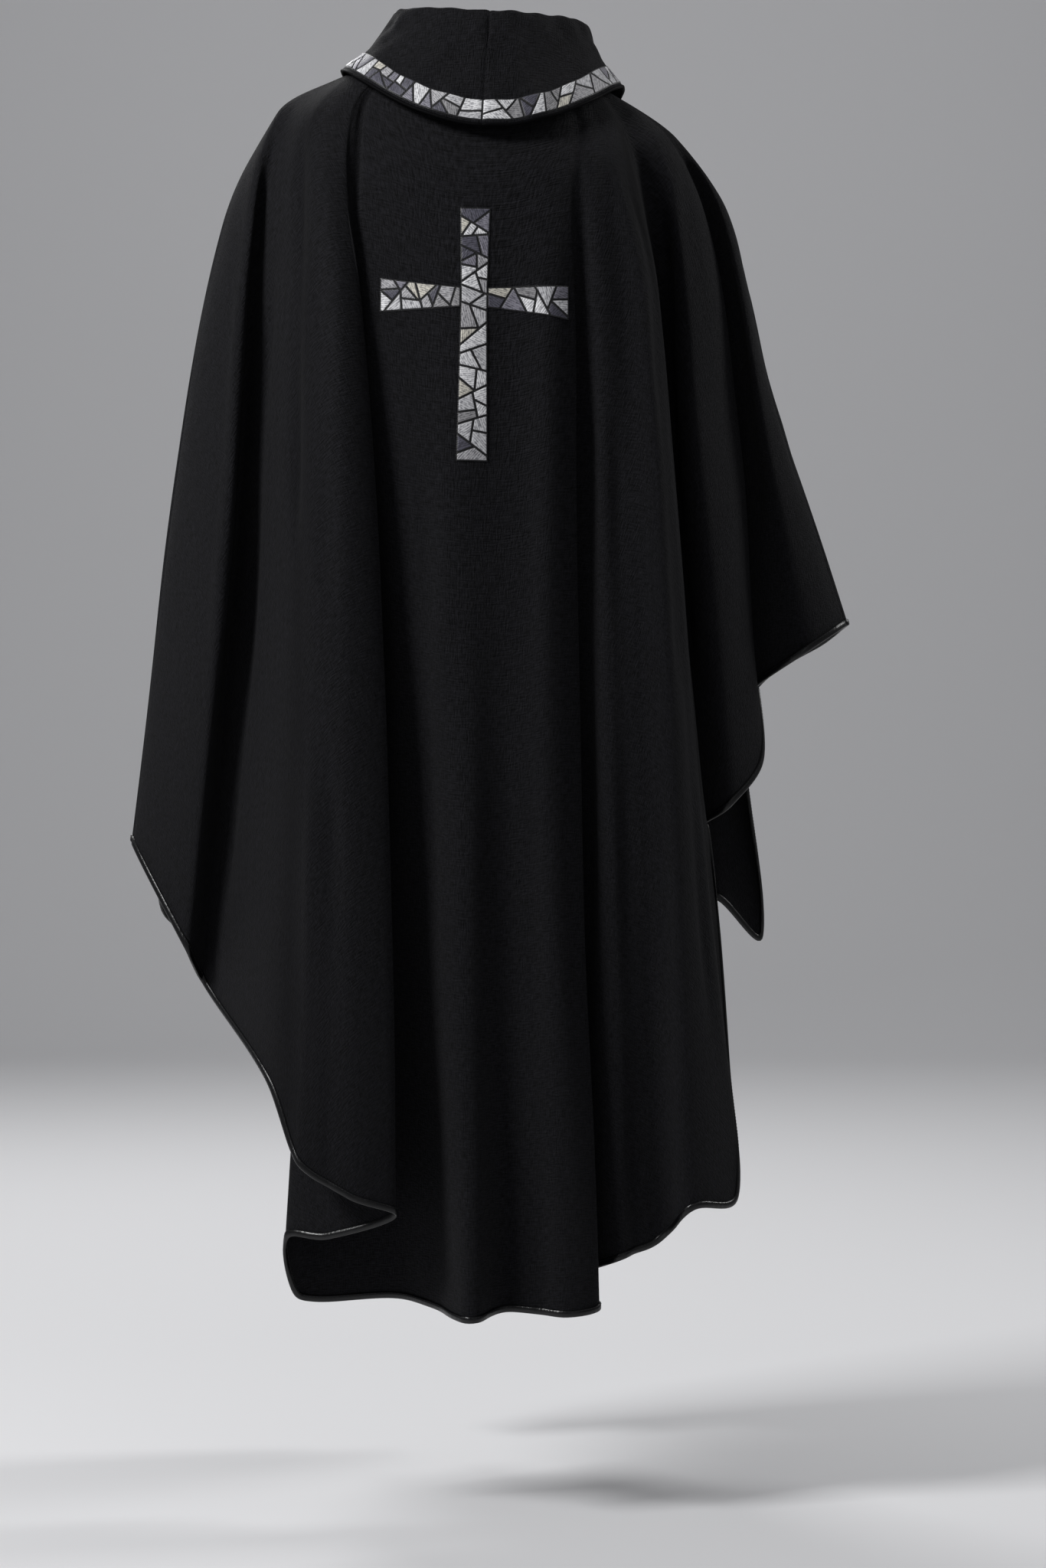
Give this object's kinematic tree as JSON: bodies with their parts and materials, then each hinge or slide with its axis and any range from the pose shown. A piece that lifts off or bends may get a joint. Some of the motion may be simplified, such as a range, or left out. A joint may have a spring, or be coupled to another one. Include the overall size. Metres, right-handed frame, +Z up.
{
  "type": "chasuble",
  "caption": "Black full-cut chasuble as worn with no wearer: open sides, roll collar with an embroidered edge band, a cross on the back and a satin-bound hem.",
  "frame": {"origin": "the middle of the neck opening, where the garment is held on the neck and shoulders", "axes": "+Z up, the garment's front faces -Y and its back +Y, +X is the wearer's left"},
  "size_m": [0.7816, 0.5243, 1.4012],
  "materials": {
    "wool": "matt crepe weave with a light slub",
    "satin": "shiny satin",
    "embroidery": "satin stitch in greys and white with black lines between the patches"
  },
  "bodies": {
    "root": {"back_panel": "wool", "front_panel": "wool", "hem_binding_back": "satin", "hem_binding_front": "satin", "collar_left": "wool", "collar_right": "wool", "collar_band_left": "embroidery", "collar_band_right": "embroidery", "collar_binding_left": "satin", "collar_binding_right": "satin", "back_cross": "embroidery"}
  },
  "joints": []
}
